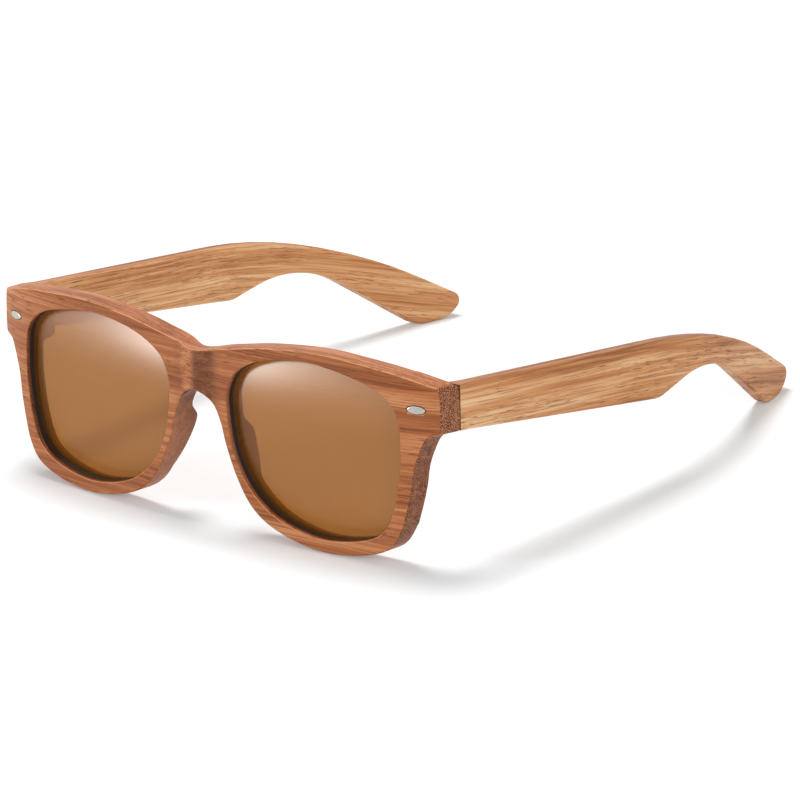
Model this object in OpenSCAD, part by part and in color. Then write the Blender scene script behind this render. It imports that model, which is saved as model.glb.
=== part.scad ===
// Wooden sunglasses with folding temples, standing open on their rims and temple tips.
// The wearer's left is +X, the front faces -Y and +Z is up. Millimetres.

/* [Lenses] */
// Width of a lens opening
lens_w = 52.6; // [44:0.2:58]
// Height of a lens opening
lens_h = 43.3; // [34:0.1:48]
// Distance between the two lens openings
bridge_w = 19.2; // [14:0.2:24]
// Thickness of a lens
lens_t = 1.2; // [1:0.1:1.8]
// How far a lens reaches into its liner all round
lens_bite = 0.6; // [0.3:0.05:0.8]
// Depth of the wooden lip in front of the liner
lip_t = 1.2; // [0.8:0.1:1.8]
// Depth of the liner in front of the lens
liner_front = 1.8; // [1:0.1:2.2]
// Depth of the liner behind the lens
liner_back = 0.6; // [0.4:0.1:1]
// How far the liner reaches into the wood all round
liner_bite = 1.0; // [0.9:0.05:1.3]

/* [Front] */
// Thickness of the front, front face to back face
front_t = 6.0; // [5.6:0.1:7.5]
// Width of the rim below a lens
rim_bottom = 3.2; // [2.6:0.1:5]
// Width of the rim above a lens
rim_top = 2.8; // [2.4:0.1:5]
// Width of the rim beside a lens, on the temple side
rim_side = 4.0; // [3:0.1:6]
// Height of the bridge at its middle
bridge_h = 10.4; // [7:0.1:13]
// Half width of the arch over the nose, near its top
arch_half = 4.6; // [3:0.1:6]
// Drop of the arch from its top to that width
arch_drop = 2.1; // [1:0.1:3]
// How far the top edge dips at the bridge
bridge_dip = 5.2; // [2:0.1:7]
// How far the top edge dips at the ends
end_dip = 3.95; // [2:0.05:6]
// How far an endpiece stands out past the rim
end_reach = 6.3; // [5:0.1:9]
// Height of an endpiece at its end
end_h = 11.15; // [9.5:0.05:12]
// Fall of an endpiece's lower edge from the front face back to the temple seam
end_fall = 0.5; // [0:0.1:1.5]
// Run of the curve under an endpiece, from its lower corner to the rim
end_run = 3.9; // [2:0.1:5]
// Drop of that curve
end_drop = 1.9; // [1:0.1:3]
// Depth of an endpiece from the middle of the front face to the temple seam
seam_depth = 14.0; // [13:0.1:17]
// Radius of the front face across the lenses
wrap_r = 500; // [250:10:1200]
// Radius of the front face where it turns back at the ends
curl_r = 38; // [30:1:80]
// Length of each turned end, along X
curl_len = 12.5; // [8:0.5:16]
// Height of the soft ridge down the middle of the bridge
ridge_h = 0.9; // [0.2:0.1:1.5]
// Half width of that ridge
ridge_half = 6.5; // [4:0.5:8]
// How far the carved nose pads stand out behind the front
pad_d = 3.0; // [1:0.1:5]
// Height of the nose pads' upper end above the rims' lowest point
pad_top = 27.5; // [22:0.5:30]
// Height at which the nose pads stand out furthest
pad_peak = 24; // [18:0.5:25]
// Height of the nose pads' lower end above the rims' lowest point
pad_low = 6.5; // [4:0.5:10]
// How far the nose pads reach sideways past the edge of a lens opening
pad_reach = 7; // [5:0.5:9]
// Radius of the nose pads' backs
pad_r = 2.5; // [1:0.1:4]
// Lean of the front when the sunglasses stand open
lean = 3.3; // [2:0.1:5]

/* [Rivets] */
// Length of a rivet's oval head
rivet_l = 4.7; // [3.5:0.1:6]
// Height of a rivet's oval head
rivet_h = 2.0; // [1.6:0.1:3.2]
// How far the head is let into the wood
rivet_sunk = 0.7; // [0.4:0.1:1]
// How far the head stands proud of the wood
rivet_proud = 0.25; // [0.1:0.05:0.6]
// Distance of the rivet from the end of the front
rivet_in = 6.0; // [5:0.1:7]
// Diameter of the rivet's peg
rivet_peg_d = 1.3; // [0.8:0.1:1.6]
// Length of the rivet's peg behind its head
rivet_peg_l = 3.0; // [1.5:0.1:3.5]

/* [Temples] */
// Thickness of a temple
temple_t = 4.0; // [3.5:0.1:5]
// Gap between an endpiece and its temple
seam_gap = 0.1; // [0.05:0.05:0.3]
// Distance of a temple's top edge below the endpiece's, at the seam
temple_sit = 0.3; // [0:0.05:0.8]
// Seam to the corner of the top edge, where the ear bend starts
top_bend_at = 101; // [84:0.5:104]
// Drop from the endpiece's top edge to that corner
top_drop = 7.6; // [4:0.05:9]
// Radius of the ear bend's top edge
top_bend_r = 150; // [40:5:160]
// Seam to the notch in the lower edge
notch_at = 72.5; // [66:0.5:76]
// Height of a temple at the notch
notch_h = 14.8; // [13:0.1:17]
// Radius of the notch
notch_r = 8; // [4:0.5:12]
// Notch to the hollow under the ear bend
hollow_run = 23.5; // [19:0.5:26]
// Rise from the notch to that hollow's corner
hollow_rise = 5.9; // [4:0.1:6.5]
// Radius of the hollow
hollow_r = 32; // [16:1:34]
// How far the rear corner of a temple stands out past the tip's flat
tip_over = 4.4; // [2:0.1:7]
// Length of the tip's flat that stands on the table
tip_flat = 9.4; // [8:0.1:12]
// Radius of the tip's front lower corner
tip_heel_r = 7; // [4:0.5:9]
// Share of the tip's rear edge that its upper corner's round takes
tip_round_share = 0.46; // [0.4:0.02:0.68]
// Share of the rest of that edge that its lower corner's round takes
toe_round_share = 0.9; // [0.2:0.05:0.95]
// Seam to the rear corner of the tip
temple_len = 144.0; // [141:0.5:152]
// Height of that rear corner above the tip's flat
tip_end_h = 5.2; // [4.6:0.1:10]
// Angle at which a temple leads outward from the hinge
splay = 1.0; // [0:0.1:3]
// Seam to the start of the inward bend
bend_at = 63; // [50:1:80]
// Radius of the inward bend, seen from above
bend_r = 150; // [110:5:250]
// Angle of the inward bend, seen from above
bend_angle = 17.5; // [8:0.5:22]

/* [Hinges] */
// Distance of the hinge below the middle of the endpiece
hinge_drop = 1.0; // [0:0.1:1.5]
// Outer radius of the knuckles
knuckle_r = 1.5; // [1.3:0.05:1.8]
// Height of one knuckle
knuckle_h = 0.9; // [0.75:0.05:1.1]
// Gap between neighbouring knuckles
knuckle_gap = 0.06; // [0.04:0.01:0.12]
// Radius of the hinge screw's shank
pin_r = 0.7; // [0.5:0.05:0.8]
// Radial clearance of the temple knuckles on the hinge screw
pin_clear = 0.04; // [0.02:0.01:0.08]
// Clearance round the knuckles
knuckle_clear = 0.35; // [0.3:0.05:0.5]
// Radius of the hinge screw's head
pin_head_r = 1.15; // [1:0.05:1.25]
// Height of the hinge screw's head
pin_head_h = 0.7; // [0.5:0.05:0.9]
// Thickness of the hinge leaves
leaf_t = 1.0; // [0.8:0.05:1.2]
// Width of the front leaf's plate
front_leaf_w = 6.2; // [6:0.1:6.6]
// Height of the front leaf's plate
front_leaf_h = 7.2; // [6.6:0.1:7.8]
// Length of the temple leaf's plate
temple_leaf_l = 8.0; // [7:0.5:14]
// Radius of a leaf screw's shank
screw_r = 0.6; // [0.4:0.05:0.7]
// Radius of a leaf screw's head
screw_head_r = 1.1; // [0.9:0.05:1.2]
// Depth of a leaf screw's countersunk head
screw_head_h = 0.6; // [0.4:0.05:0.7]
// Length of a front leaf's screws
front_screw_l = 4.6; // [3.5:0.1:6]
// Length of a temple leaf's screws
temple_screw_l = 3.0; // [2:0.1:3.2]
// Distance of a screw's centre from the edges of its leaf
screw_edge = 1.45; // [1.35:0.05:1.7]
// Width of the screwdriver slots
slot_w = 0.3; // [0.2:0.05:0.4]
// Depth of the screwdriver slots
slot_d = 0.25; // [0.15:0.05:0.35]

/* [Hidden] */
$fn = 48;

// Colours of the materials
wood = "peru";
tint = [0.55, 0.35, 0.2, 0.7];
black = "black";
silver = "silver";
steel = "gray";

// Steps along each stretch of a smooth curve, and the angle of one step round a corner
curve_steps = 4;
corner_angle = 5;
// Strips across the curved front face
wrap_steps = 72;
// Room past a surface for a clean cut
past = 1;

// Half sizes of a lens opening and of the rim round it, and their shared centre
half_w = lens_w / 2;
half_h = lens_h / 2;
eye_x = bridge_w / 2 + half_w;
eye_z = rim_bottom + half_h;
brow = rim_bottom + lens_h + rim_top;
front_half = bridge_w / 2 + lens_w + rim_side + end_reach;
end_top = brow - end_dip;
end_low = end_top - end_h;
arch_top = brow - bridge_dip - bridge_h;
curl_at = front_half - curl_len;
lens_depth = lip_t + liner_front;
liner_d = liner_front + lens_t + liner_back;

// A lens opening's outline, in half widths and half heights from its centre
opening_shape = [[1, 0.19], [0.965, 0.57], [0.81, 0.79], [0.5, 0.92], [0, 1], [-0.51, 0.93],
    [-0.85, 0.75], [-0.985, 0.5], [-1, 0.24], [-0.925, -0.22], [-0.73, -0.61], [-0.4, -0.88],
    [0.08, -1], [0.55, -0.925], [0.81, -0.76], [0.925, -0.47], [0.985, -0.11]];
// The rim's outer edge from the endpiece round to the nose, in the same terms
rim_shape = [[0.995, 0.04], [0.96, -0.22], [0.914, -0.455], [0.855, -0.665], [0.74, -0.84],
    [0.5, -0.95], [0.17, -1], [-0.13, -0.97], [-0.44, -0.865], [-0.65, -0.7], [-0.8, -0.44],
    [-0.91, -0.14], [-0.97, 0.09]];
// The curve under an endpiece from its lower corner inward to the rim, in shares of its run and drop
end_curve = [[0, 0], [0.565, 0.315], [1, 1]];

function unit(v) = v / norm(v);
function last(p) = p[len(p) - 1];
function reversed(p) = [for (i = [len(p) - 1:-1:0]) p[i]];
function flipped(p) = [for (q = p) [-q.x, q.y]];

// A point of the smooth curve from b to c, with its neighbours a and d
function between(a, b, c, d, t) = ((2 * b) + (c - a) * t + (2 * a - 5 * b + 4 * c - d) * t * t
    + (3 * b - a - 3 * c + d) * t * t * t) / 2;
// A smooth closed curve through the points
function loop(p) = [for (i = [0:len(p) - 1], j = [0:curve_steps - 1])
    between(p[(i + len(p) - 1) % len(p)], p[i], p[(i + 1) % len(p)], p[(i + 2) % len(p)], j / curve_steps)];
// A smooth open curve through the points, led in and out by a point before and one after
function run(before, p, after) = let (q = concat([before], p, [after]))
    concat([for (i = [1:len(q) - 3], j = [0:curve_steps - 1])
        between(q[i - 1], q[i], q[i + 1], q[i + 2], j / curve_steps)], [last(p)]);
// The radius that rounds the corner b between a and c over a length of each edge
function round_r(a, b, c, length) = length * tan(acos(unit(a - b) * unit(c - b)) / 2);
// The corner b between a and c, rounded to radius r
function corner(a, b, c, r) = let (
    p = unit(a - b),
    q = unit(c - b),
    half = acos(p * q) / 2,
    middle = b + unit(p + q) * r / sin(half),
    start = b + p * r / tan(half) - middle,
    end = b + q * r / tan(half) - middle,
    from = atan2(start.y, start.x),
    turn = atan2(start.x * end.y - start.y * end.x, start * end),
    steps = max(1, ceil(abs(turn) / corner_angle)))
    r == 0 ? [b] : [for (i = [0:steps]) middle
        + r * [cos(from + turn * i / steps), sin(from + turn * i / steps)]];
// A closed outline from corners of the form [x, y, radius]
function rounded(p) = [for (i = [0:len(p) - 1], q = corner([p[(i + len(p) - 1) % len(p)].x,
    p[(i + len(p) - 1) % len(p)].y], [p[i].x, p[i].y],
    [p[(i + 1) % len(p)].x, p[(i + 1) % len(p)].y], p[i].z)) q];

// A lens opening's outline, grown all round
function opening(grow) = loop([for (p = opening_shape)
    [eye_x + p.x * (half_w + grow), eye_z + p.y * (half_h + grow)]]);

// The front's outline: the top edge and the lower edge of its left half, then their mirror
top_points = [[0, brow - bridge_dip], [bridge_w / 2, brow - 0.67 * bridge_dip],
    [eye_x - half_w * 0.55, brow - 0.26 * bridge_dip], [eye_x, brow],
    [eye_x + half_w * 0.45, brow - 0.07 * end_dip], [eye_x + half_w, brow - 0.4 * end_dip],
    [front_half, end_top]];
top_edge = run([-top_points[1].x, top_points[1].y], top_points, 2 * last(top_points) - top_points[5]);
rim_points = [for (p = rim_shape)
    [eye_x + p.x * (half_w + (p.x > 0 ? rim_side : rim_bottom)), eye_z + p.y * (half_h + rim_bottom)]];
low_points = concat([for (p = end_curve) [front_half - p.x * end_run, end_low - p.y * end_drop]],
    rim_points, [[arch_half, arch_top - arch_drop], [0, arch_top]]);
low_edge = run([front_half + end_curve[1].x * end_run, end_low], low_points,
    [-arch_half, arch_top - arch_drop]);
half_outline = concat(top_edge, low_edge);
front_outline = concat(half_outline, reversed(flipped(half_outline)));

// How far the front face lies back at x, from the two arcs and the ridge on the bridge
function middle_arc(a) = wrap_r - sqrt(wrap_r * wrap_r - a * a);
function end_arc(a) = let (lead = curl_at / wrap_r, turn = lead + (a - curl_at) / curl_r)
    middle_arc(curl_at) + curl_r * (sqrt(1 - lead * lead) - sqrt(1 - turn * turn));
function ridge(a) = a < ridge_half ? ridge_h * (1 + cos(180 * a / ridge_half)) / 2 : 0;
function wrap(x) = let (a = abs(x)) (a < curl_at ? middle_arc(a) : end_arc(a)) - ridge(a);
strips = [for (i = [-wrap_steps / 2:wrap_steps / 2]) i * front_half * 2 / wrap_steps];
// The strip-wise layer of the front between two depths below its face, seen from above
function layer(near, far) = concat([for (x = strips) [x, wrap(x) + near]],
    [for (x = reversed(strips)) [x, wrap(x) + far]]);

// Standing: the table meets the rims' back edges and the flats of the temple tips
table_z = min([for (p = low_edge) p.y - (wrap(p.x) + front_t) * tan(lean)]);
function table(y) = table_z + y * tan(lean);

// A temple's side outline: straight runs and round corners, from the seam to the tip
seam = seam_depth + seam_gap;
temple_end = seam + temple_len;
tip_toe = temple_end - tip_over;
tip_heel = tip_toe - tip_flat;
notch = [seam + notch_at, end_top - top_drop * notch_at / top_bend_at - notch_h];
bend = [seam + top_bend_at, end_top - top_drop];
heel = [tip_heel, table(tip_heel)];
toe = [tip_toe, table(tip_toe)];
tip = [temple_end, toe.y + tip_end_h];
temple_outline = rounded([[seam, end_top - temple_sit, 0],
    [bend.x, bend.y, top_bend_r],
    [tip.x, tip.y, round_r(bend, tip, toe, tip_round_share * norm(tip - toe))],
    [toe.x, toe.y, round_r(tip, toe, heel, toe_round_share * (1 - tip_round_share) * norm(tip - toe))],
    [heel.x, heel.y, tip_heel_r],
    [notch.x + hollow_run, notch.y + hollow_rise, hollow_r],
    [notch.x, notch.y, notch_r],
    [seam, end_low - end_fall, 0]]);

// A temple from above: the middle of its thickness and its direction, along a straight run,
// an inward arc and a straight tip
bend_y = seam + bend_at;
bend_start = [front_half - temple_t / 2 + bend_at * tan(splay), bend_y];
bend_steps = ceil(bend_angle / 2);
function heading(a) = [sin(splay - a), cos(splay - a)];
function bend_point(a) = bend_start + bend_r * [cos(splay - a) - cos(splay), sin(splay) - sin(splay - a)];
bend_end = bend_point(bend_angle);
temple_path = concat([[bend_start - heading(0) * (bend_at + 2 * past), 0]],
    [for (i = [0:bend_steps]) [bend_point(bend_angle * i / bend_steps), bend_angle * i / bend_steps]],
    [[bend_end + heading(bend_angle) * (temple_end + past - bend_end.y) / cos(bend_angle), bend_angle]]);
function beside(step, out) = step[0] + out * [heading(step[1]).y, -heading(step[1]).x];
temple_plan = concat([for (s = temple_path) beside(s, temple_t / 2)],
    reversed([for (s = temple_path) beside(s, -temple_t / 2)]));

// Where the sunglasses stand: leaned back, on the table, with the middle of their depth at Y = 0
near_y = min([for (p = low_edge) p.y * sin(lean) + wrap(p.x) * cos(lean)]);
far_y = max([for (p = temple_outline) p.y * sin(lean) + p.x * cos(lean)]);
shift = [0, -(near_y + far_y) / 2, -table_z * cos(lean)];

// The hinge: its axis, its stack of knuckles and its leaves
inner_x = front_half - temple_t;
leaf_x = inner_x + leaf_t;
pin_x = leaf_x - knuckle_r;
pin_y = seam_depth + knuckle_r + knuckle_clear;
rivet_z = (end_top + end_low) / 2;
hinge_z = rivet_z - hinge_drop;
knuckles = 5;
knuckle_pitch = knuckle_h + knuckle_gap;
stack_h = knuckles * knuckle_h + (knuckles - 1) * knuckle_gap;
stack_z = hinge_z - stack_h / 2;
front_leaf_in = leaf_x - front_leaf_w;
temple_leaf_y = pin_y + knuckle_r + knuckle_clear;
pocket_h = stack_h + 2 * (pin_head_h + knuckle_clear);

// The endpiece block behind the rim: the wood inside the front leaf, and the slope to the rim's back
block_wall = 1;
block_in = front_leaf_in - block_wall;
block_slope = 3;
rivet_x = front_half - rivet_in;
rivet_turn = asin((curl_at / wrap_r) + (rivet_x - curl_at) / curl_r);

// Everything is drawn on the left side, upright, and then leaned back and set on the table
module stand(side) {
    translate(shift) rotate([-lean, 0, 0]) mirror([side < 0 ? 1 : 0, 0, 0]) children();
}

// A front-view outline carried back from one depth to another
module from_front(near, far) {
    rotate([90, 0, 0]) translate([0, 0, -far]) linear_extrude(far - near) children();
}

// A layer of the curved front, over its whole height
module front_layer(near, far) {
    translate([0, 0, -past]) linear_extrude(brow + 2 * past) polygon(layer(near, far));
}

// A piece of the curved front inside one lens opening's outline
module in_opening(grow, near, far) {
    intersection() {
        from_front(-seam_depth, 2 * seam_depth) polygon(opening(grow));
        front_layer(near, far);
    }
}

// A box from one corner to the opposite one
module box(low, high) {
    translate(low) cube(high - low);
}

// A countersunk screw, head up along +Z with its top at the origin
module leaf_screw(length) {
    difference() {
        screw_room(length);
        box([-screw_head_r - past, -slot_w / 2, -slot_d], [screw_head_r + past, slot_w / 2, past]);
    }
}

// The room that a countersunk screw takes, without its slot
module screw_room(length) {
    rotate_extrude()
        polygon([[0, 0], [screw_head_r, 0], [screw_r, -screw_head_h], [screw_r, -length], [0, -length]]);
}

// The places of the leaf screws: up is 1 or -1, and rear is 0 or 1
module at_front_screw(up) {
    translate([front_leaf_in + screw_edge, seam_depth, hinge_z + up * (front_leaf_h / 2 - screw_edge)])
        rotate([-90, 0, 0]) children();
}
module at_temple_screw(rear) {
    translate([inner_x, temple_leaf_y + screw_edge + rear * (temple_leaf_l - 2 * screw_edge), hinge_z])
        rotate([0, -90, 0]) children();
}

// A rivet: an oval head let into the front face, and a peg behind it
module rivet_shape() {
    translate([rivet_x, wrap(rivet_x), rivet_z]) rotate([0, 0, rivet_turn]) union() {
        from_front(-rivet_proud, rivet_sunk)
            polygon([for (a = [0:10:350]) [rivet_l / 2 * cos(a), rivet_h / 2 * sin(a)]]);
        rotate([-90, 0, 0]) cylinder(h = rivet_sunk + rivet_peg_l, d = rivet_peg_d);
    }
}

// The plates of the leaves
module front_plate() {
    box([front_leaf_in, seam_depth - leaf_t, hinge_z - front_leaf_h / 2],
        [leaf_x, seam_depth, hinge_z + front_leaf_h / 2]);
}
module temple_plate() {
    box([inner_x, temple_leaf_y, hinge_z - stack_h / 2],
        [leaf_x, temple_leaf_y + temple_leaf_l, hinge_z + stack_h / 2]);
}

// One knuckle of the stack
module knuckle(i) {
    translate([pin_x, pin_y, stack_z + i * knuckle_pitch]) cylinder(h = knuckle_h, r = knuckle_r);
}

// The block of wood behind an endpiece: its plan, and its side with the falling lower edge
module endpiece_block() {
    block_strips = [for (x = strips) if (x > block_in - block_slope) x];
    intersection() {
        translate([0, 0, end_low - end_fall - past]) linear_extrude(end_h + end_fall + 2 * past)
            polygon(concat([for (x = block_strips) [x, wrap(x)]], [[front_half, seam_depth + past],
                [block_in, seam_depth + past], [block_in, seam_depth],
                [block_strips[0], wrap(block_strips[0]) + front_t]]));
        rotate([90, 0, 90]) linear_extrude(front_half + past)
            polygon([[-past, end_low], [wrap(front_half), end_low], [seam_depth, end_low - end_fall],
                [seam_depth, end_top], [-past, end_top]]);
    }
}

// The wooden blank of the front: the curved slab and the nose pads within its outline, and the blocks
module front_blank() {
    pad_half = bridge_w / 2 + pad_reach;
    intersection() {
        from_front(-seam_depth, 2 * seam_depth) polygon(front_outline);
        union() {
            front_layer(0, front_t);
            rotate([90, 0, 90]) translate([0, 0, -pad_half]) linear_extrude(2 * pad_half)
                polygon(rounded([[lip_t, pad_low, 0], [front_t, pad_low, 0],
                    [front_t + pad_d, pad_peak, pad_r], [front_t, pad_top, 0], [lip_t, pad_top, 0]]));
        }
    }
    for (side = [0, 1]) mirror([side, 0, 0]) endpiece_block();
}

module front_frame() {
    color(wood) stand(1) difference() {
        front_blank();
        for (side = [0, 1]) mirror([side, 0, 0]) {
            from_front(-seam_depth, 2 * seam_depth) polygon(opening(0));
            in_opening(liner_bite, lip_t, lip_t + liner_d);
            rivet_shape();
            front_plate();
            for (up = [-1, 1]) at_front_screw(up) screw_room(front_screw_l);
        }
    }
}

module lens(side) {
    color(tint) stand(side) in_opening(lens_bite, lens_depth, lens_depth + lens_t);
}

module lens_liner(side) {
    color(black) stand(side) difference() {
        in_opening(liner_bite, lip_t, lip_t + liner_d);
        from_front(-seam_depth, 2 * seam_depth) polygon(opening(0));
        in_opening(lens_bite, lens_depth, lens_depth + lens_t);
    }
}

module rivet(side) {
    color(silver) stand(side) rivet_shape();
}

module temple(side) {
    color(wood) stand(side) difference() {
        intersection() {
            translate([0, 0, -past]) linear_extrude(brow + 2 * past) polygon(temple_plan);
            rotate([90, 0, 90]) linear_extrude(2 * front_half) polygon(temple_outline);
        }
        box([inner_x - past, seam - past, hinge_z - pocket_h / 2],
            [leaf_x + knuckle_clear, temple_leaf_y, hinge_z + pocket_h / 2]);
        temple_plate();
        box([inner_x - past, temple_leaf_y, hinge_z - stack_h / 2],
            [inner_x, temple_leaf_y + temple_leaf_l, hinge_z + stack_h / 2]);
        for (rear = [0, 1]) at_temple_screw(rear) screw_room(temple_screw_l);
    }
}

module front_leaf(side) {
    color(steel) stand(side) difference() {
        union() {
            front_plate();
            for (i = [0:2:knuckles - 1]) {
                knuckle(i);
                box([pin_x - knuckle_r, seam_depth - leaf_t, stack_z + i * knuckle_pitch],
                    [leaf_x, pin_y, stack_z + i * knuckle_pitch + knuckle_h]);
            }
        }
        translate([pin_x, pin_y, stack_z - past]) cylinder(h = stack_h + 2 * past, r = pin_r);
        for (up = [-1, 1]) at_front_screw(up) screw_room(front_screw_l);
    }
}

module temple_leaf(side) {
    color(steel) stand(side) difference() {
        union() {
            temple_plate();
            for (i = [1:2:knuckles - 1]) {
                knuckle(i);
                box([inner_x, pin_y, stack_z + i * knuckle_pitch],
                    [leaf_x, temple_leaf_y, stack_z + i * knuckle_pitch + knuckle_h]);
            }
        }
        translate([pin_x, pin_y, stack_z - past]) cylinder(h = stack_h + 2 * past, r = pin_r + pin_clear);
        for (rear = [0, 1]) at_temple_screw(rear) screw_room(temple_screw_l);
    }
}

module hinge_screw(side) {
    color(steel) stand(side) translate([pin_x, pin_y, stack_z]) difference() {
        union() {
            cylinder(h = stack_h, r = pin_r);
            translate([0, 0, stack_h]) cylinder(h = pin_head_h, r = pin_head_r);
        }
        translate([0, 0, stack_h + pin_head_h])
            box([-pin_head_r - past, -slot_w / 2, -slot_d], [pin_head_r + past, slot_w / 2, past]);
    }
}

module front_leaf_screw(side, up) {
    color(steel) stand(side) at_front_screw(up) leaf_screw(front_screw_l);
}

module temple_leaf_screw(side, rear) {
    color(steel) stand(side) at_temple_screw(rear) leaf_screw(temple_screw_l);
}

front_frame();
lens(1);  // lens_left
lens(-1);  // lens_right
lens_liner(1);  // lens_liner_left
lens_liner(-1);  // lens_liner_right
rivet(1);  // rivet_left
rivet(-1);  // rivet_right
temple(1);  // temple_left
temple(-1);  // temple_right
front_leaf(1);  // front_leaf_left
front_leaf(-1);  // front_leaf_right
temple_leaf(1);  // temple_leaf_left
temple_leaf(-1);  // temple_leaf_right
hinge_screw(1);  // hinge_screw_left
hinge_screw(-1);  // hinge_screw_right
front_leaf_screw(1, 1);  // front_leaf_upper_screw_left
front_leaf_screw(-1, 1);  // front_leaf_upper_screw_right
front_leaf_screw(1, -1);  // front_leaf_lower_screw_left
front_leaf_screw(-1, -1);  // front_leaf_lower_screw_right
temple_leaf_screw(1, 0);  // temple_leaf_front_screw_left
temple_leaf_screw(-1, 0);  // temple_leaf_front_screw_right
temple_leaf_screw(1, 1);  // temple_leaf_rear_screw_left
temple_leaf_screw(-1, 1);  // temple_leaf_rear_screw_right
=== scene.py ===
# %% [markdown]
# # Wooden sunglasses, dressed over their CAD solids
# The CAD solids have flat strips and sharp edges. The real frame is sanded wood: smooth
# curves, eased edges, grain. This lesson redraws the wood, lenses, liners and rivets from
# the same sizes as smooth meshes, keeps the small hinge parts, and gives each its finish.
# Blender works in metres; the sizes below are in millimetres and are scaled once, at the end.

# %% Load the frame
import math

import bpy
import numpy as np
from mathutils import Matrix, Vector
from mathutils.geometry import delaunay_2d_cdt


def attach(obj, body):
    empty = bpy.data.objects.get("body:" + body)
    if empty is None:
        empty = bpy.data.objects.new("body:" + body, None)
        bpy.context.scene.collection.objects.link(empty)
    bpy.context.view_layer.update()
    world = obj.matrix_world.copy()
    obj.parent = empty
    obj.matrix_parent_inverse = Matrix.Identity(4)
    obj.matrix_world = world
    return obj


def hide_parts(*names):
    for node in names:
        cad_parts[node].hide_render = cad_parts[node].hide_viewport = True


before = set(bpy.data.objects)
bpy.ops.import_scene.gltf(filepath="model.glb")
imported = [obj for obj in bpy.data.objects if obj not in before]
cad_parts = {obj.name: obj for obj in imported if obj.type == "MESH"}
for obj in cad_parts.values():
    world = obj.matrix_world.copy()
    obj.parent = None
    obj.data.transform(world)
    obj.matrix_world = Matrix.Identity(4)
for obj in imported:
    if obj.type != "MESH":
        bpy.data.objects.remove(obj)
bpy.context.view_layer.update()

# %% [markdown]
# ## Sizes
# A frame maker draws the front flat, as seen from in front: `across` (to the wearer's left),
# `up`, and a third number `back` for how deep a point lies behind the middle of the bridge.
# These are the same sizes as in the CAD model, so each new piece lands where its solid is.

# %% Sizes of the front, lenses and temples
LENS_W, LENS_H, BRIDGE_W = 52.6, 43.3, 19.2
LENS_T, LENS_BITE, LIP_T = 1.2, 0.6, 1.2
LINER_FRONT, LINER_BACK, LINER_BITE = 1.8, 0.6, 1.0
FRONT_T, RIM_BOTTOM, RIM_TOP, RIM_SIDE = 6.0, 3.2, 2.8, 4.0
BRIDGE_H, BRIDGE_DIP, ARCH_HALF, ARCH_DROP = 10.4, 5.2, 4.6, 2.1
END_DIP, END_REACH, END_H, END_RUN, END_DROP, END_FALL = 3.95, 6.3, 11.15, 3.9, 1.9, 0.5
SEAM_DEPTH, SEAM_GAP = 14.0, 0.1
WRAP_R, CURL_R, CURL_LEN, RIDGE_H, RIDGE_HALF = 500.0, 38.0, 12.5, 0.9, 6.5
PAD_D, PAD_TOP, PAD_PEAK, PAD_LOW, PAD_REACH = 3.0, 27.5, 24.0, 6.5, 7.0
RIVET_L, RIVET_H, RIVET_SUNK, RIVET_PROUD, RIVET_IN = 4.7, 2.0, 0.7, 0.25, 6.0
TEMPLE_T, TEMPLE_LEN = 4.0, 144.0
SPLAY, BEND_AT, BEND_R, BEND_ANGLE = math.radians(1.0), 63.0, 150.0, math.radians(17.5)
LEAN = math.radians(3.3)
# Where the upright drawing is set down: the middle of the depth, and the table
SET_BACK, SET_UP = -78.9264, 0.442554

HALF_W, HALF_H = LENS_W / 2, LENS_H / 2
EYE = Vector((BRIDGE_W / 2 + HALF_W, RIM_BOTTOM + HALF_H))
BROW = RIM_BOTTOM + LENS_H + RIM_TOP
END = BRIDGE_W / 2 + LENS_W + RIM_SIDE + END_REACH
END_TOP = BROW - END_DIP
END_LOW = END_TOP - END_H
ARCH_TOP = BROW - BRIDGE_DIP - BRIDGE_H
CURL_AT = END - CURL_LEN
SEAM = SEAM_DEPTH + SEAM_GAP
LINER_D = LINER_FRONT + LENS_T + LINER_BACK
print("front", 2 * END, "mm wide,", BROW, "mm high")


def stand(side, across, back, up):
    """A point of the upright drawing, leaned back and set on the table, in metres."""
    y = back * math.cos(LEAN) + up * math.sin(LEAN) + SET_BACK
    z = up * math.cos(LEAN) - back * math.sin(LEAN) + SET_UP
    return Vector((side * across, y, z)) / 1000


# %% [markdown]
# ## Curves
# The outlines are smooth curves through a few measured points. A Catmull-Rom curve passes
# through every point, so the points can be read straight off the object. Straight runs with
# round corners suit the temples better, as a maker would cut them with a router and a template.

# %% Curve helpers
def between(a, b, c, d, t):
    """The point at t, from 0 to 1, of a smooth curve from b to c with a before it and d after it."""
    square, cube = 2 * a - 5 * b + 4 * c - d, 3 * b - a - 3 * c + d
    return ((2 * b) + (c - a) * t + square * t * t + cube * t ** 3) / 2


def smooth_loop(points, steps):
    """A closed smooth curve through the points."""
    n = len(points)
    return [between(points[i - 1], points[i], points[(i + 1) % n], points[(i + 2) % n], j / steps)
            for i in range(n) for j in range(steps)]


def smooth_run(before, points, after, steps):
    """An open smooth curve through the points; the two outer ones only set its direction."""
    q = [before] + points + [after]
    curve = [between(q[i - 1], q[i], q[i + 1], q[i + 2], j / steps)
             for i in range(1, len(q) - 2) for j in range(steps)]
    return curve + [points[-1]]


def round_corner(a, b, c, radius, step=math.radians(3)):
    """The points that round the corner b between a and c."""
    p, q = (a - b).normalized(), (c - b).normalized()
    half = math.acos(max(-1, min(1, p.dot(q)))) / 2
    middle = b + (p + q).normalized() * (radius / math.sin(half))
    start, end = (b + way * (radius / math.tan(half)) - middle for way in (p, q))
    first = math.atan2(start.y, start.x)
    turn = math.atan2(start.x * end.y - start.y * end.x, start.dot(end))
    n = max(2, math.ceil(abs(turn) / step))
    return [middle + radius * Vector((math.cos(first + turn * i / n), math.sin(first + turn * i / n)))
            for i in range(n + 1)]


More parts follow.
